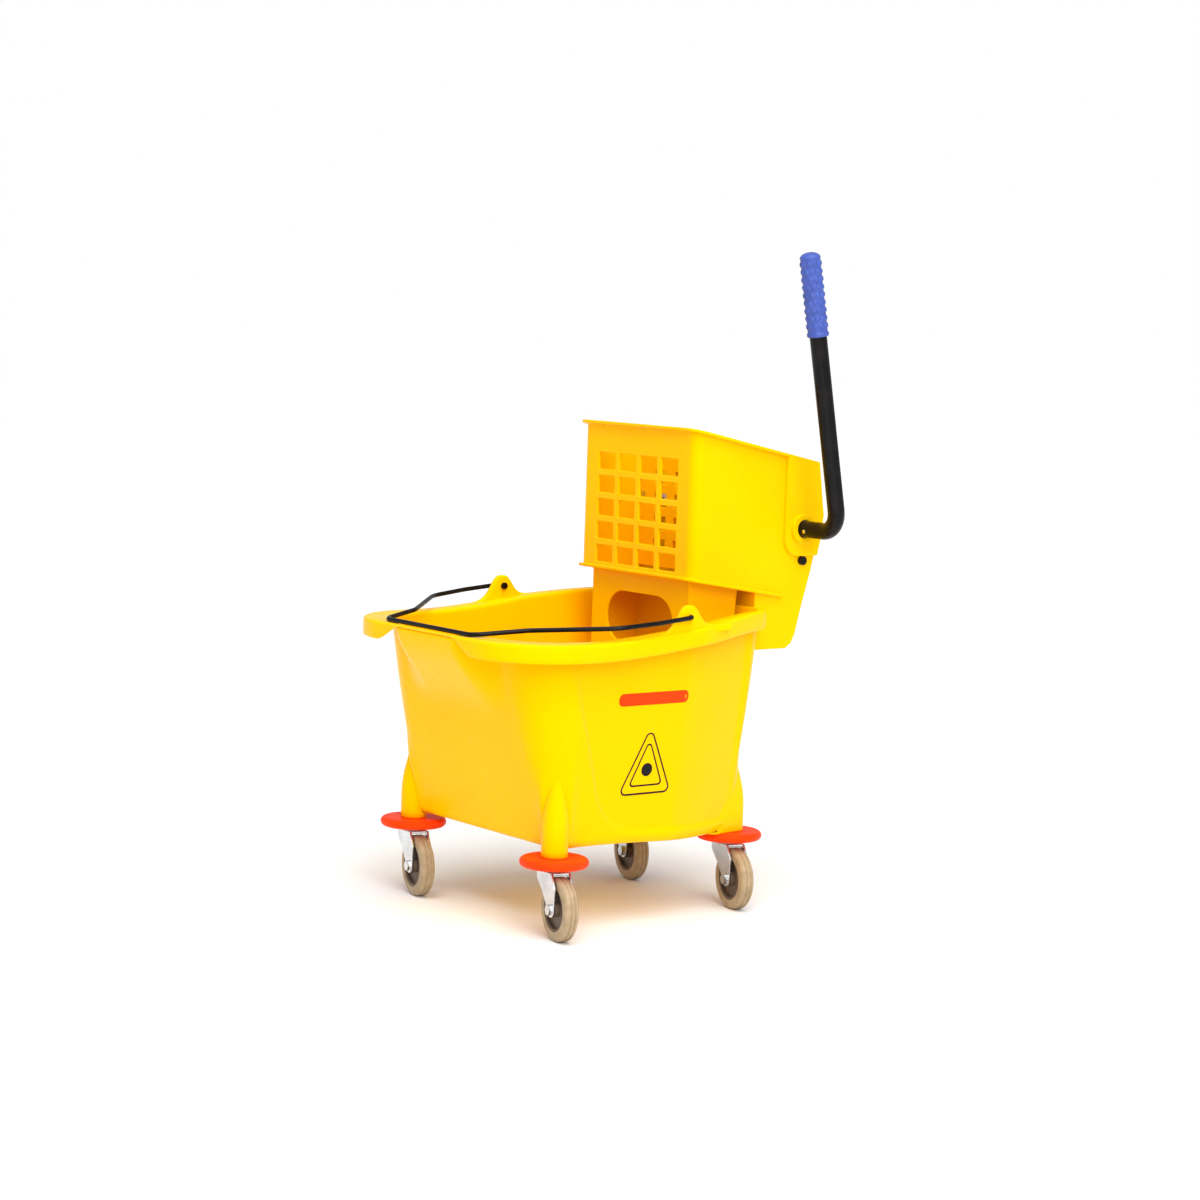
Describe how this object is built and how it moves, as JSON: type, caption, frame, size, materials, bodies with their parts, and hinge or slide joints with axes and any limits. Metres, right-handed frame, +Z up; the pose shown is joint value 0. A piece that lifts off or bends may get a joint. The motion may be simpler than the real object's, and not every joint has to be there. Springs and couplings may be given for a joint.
{
  "type": "mop bucket with side-press wringer",
  "caption": "Yellow wheeled mop bucket with a wire bail handle and a lift-off side-press wringer worked by a long black lever with a blue grip.",
  "frame": {"origin": "on the floor, under the centre of the object's bounding box", "axes": "+Z up, -Y towards the pouring end, +Y towards the wringer, +X towards the side with the press lever"},
  "size_m": [0.4068, 0.515, 0.8055],
  "materials": {
    "yellow_plastic": "glossy injection-moulded polypropylene, bright yellow",
    "black_wire": "black powder-coated steel wire",
    "black_steel": "gloss black painted steel tube",
    "bumper_orange": "orange-red soft plastic",
    "zinc_steel": "bright zinc-plated steel",
    "spring_steel": "spring steel",
    "wheel_core": "brown-grey moulded plastic",
    "tyre_tan": "non-marking tan-grey rubber",
    "white_nylon": "natural white nylon",
    "grip_blue": "knobbed periwinkle-blue rubber"
  },
  "bodies": {
    "bucket_body": {"bucket": "yellow_plastic", "bumper_fl": "bumper_orange", "bumper_fr": "bumper_orange", "bumper_rl": "bumper_orange", "bumper_rr": "bumper_orange", "caster_stem_fl": "zinc_steel", "caster_stem_fr": "zinc_steel", "caster_stem_rl": "zinc_steel", "caster_stem_rr": "zinc_steel"},
    "bail": {"bail_handle": "black_wire"},
    "swivel_fl": {"caster_fork_fl": "zinc_steel", "axle_bolt_fl": "zinc_steel", "axle_nut_fl": "zinc_steel"},
    "wheel_fl": {"wheel_core_fl": "wheel_core", "wheel_tyre_fl": "tyre_tan"},
    "swivel_fr": {"caster_fork_fr": "zinc_steel", "axle_bolt_fr": "zinc_steel", "axle_nut_fr": "zinc_steel"},
    "wheel_fr": {"wheel_core_fr": "wheel_core", "wheel_tyre_fr": "tyre_tan"},
    "swivel_rl": {"caster_fork_rl": "zinc_steel", "axle_bolt_rl": "zinc_steel", "axle_nut_rl": "zinc_steel"},
    "wheel_rl": {"wheel_core_rl": "wheel_core", "wheel_tyre_rl": "tyre_tan"},
    "swivel_rr": {"caster_fork_rr": "zinc_steel", "axle_bolt_rr": "zinc_steel", "axle_nut_rr": "zinc_steel"},
    "wheel_rr": {"wheel_core_rr": "wheel_core", "wheel_tyre_rr": "tyre_tan"},
    "wringer": {"wringer_frame": "yellow_plastic", "rear_cover": "yellow_plastic", "cover_screws": "zinc_steel", "tie_rod": "black_steel", "shaft_bush_left": "white_nylon", "shaft_bush_right": "white_nylon", "return_spring_left": "spring_steel", "return_spring_right": "spring_steel"},
    "press": {"press_plate": "yellow_plastic", "rack_left": "white_nylon", "rack_right": "white_nylon", "rack_screws": "zinc_steel"},
    "lever": {"drive_shaft": "zinc_steel", "pinion_left": "white_nylon", "pinion_right": "white_nylon", "lever_tube": "black_steel", "lever_pin": "zinc_steel", "lever_grip": "grip_blue"}
  },
  "joints": [
    {"name": "bail_swing", "type": "hinge", "parent": "bucket_body", "child": "bail", "pos_m": [0, -0.012, 0.374], "axis": [-1, 0, 0], "range_deg": [0, 100]},
    {"name": "swivel_turn_fl", "type": "hinge", "parent": "bucket_body", "child": "swivel_fl", "pos_m": [-0.147, -0.165, 0.0775], "axis": [0, 0, 1], "continuous": true},
    {"name": "wheel_roll_fl", "type": "hinge", "parent": "swivel_fl", "child": "wheel_fl", "pos_m": [-0.12744, -0.16916, 0.0375], "axis": [0.2079, 0.9781, 0], "continuous": true},
    {"name": "swivel_turn_fr", "type": "hinge", "parent": "bucket_body", "child": "swivel_fr", "pos_m": [0.147, -0.165, 0.0775], "axis": [0, 0, 1], "continuous": true},
    {"name": "wheel_roll_fr", "type": "hinge", "parent": "swivel_fr", "child": "wheel_fr", "pos_m": [0.16656, -0.16916, 0.0375], "axis": [0.2079, 0.9781, 0], "continuous": true},
    {"name": "swivel_turn_rl", "type": "hinge", "parent": "bucket_body", "child": "swivel_rl", "pos_m": [-0.103, 0.135, 0.0775], "axis": [0, 0, 1], "continuous": true},
    {"name": "wheel_roll_rl", "type": "hinge", "parent": "swivel_rl", "child": "wheel_rl", "pos_m": [-0.08344, 0.13084, 0.0375], "axis": [0.2079, 0.9781, 0], "continuous": true},
    {"name": "swivel_turn_rr", "type": "hinge", "parent": "bucket_body", "child": "swivel_rr", "pos_m": [0.103, 0.135, 0.0775], "axis": [0, 0, 1], "continuous": true},
    {"name": "wheel_roll_rr", "type": "hinge", "parent": "swivel_rr", "child": "wheel_rr", "pos_m": [0.12256, 0.13084, 0.0375], "axis": [0.2079, 0.9781, 0], "continuous": true},
    {"name": "wringer_lift", "type": "slide", "parent": "bucket_body", "child": "wringer", "axis": [0, 0, 1], "range_m": [0, 0.15]},
    {"name": "press_slide", "type": "slide", "parent": "wringer", "child": "press", "axis": [0, -1, 0], "range_m": [0, 0.031]},
    {"name": "lever_swing", "type": "hinge", "parent": "wringer", "child": "lever", "pos_m": [0, 0.221, 0.467], "axis": [1, 0, 0], "range_deg": [0, 78], "stiffness_Nm_per_rad": 1.5, "springref_deg": -17.19}
  ],
  "couplings": [
    {"joint": "press_slide", "follows": "lever_swing", "m_per_rad": 0.0225}
  ]
}
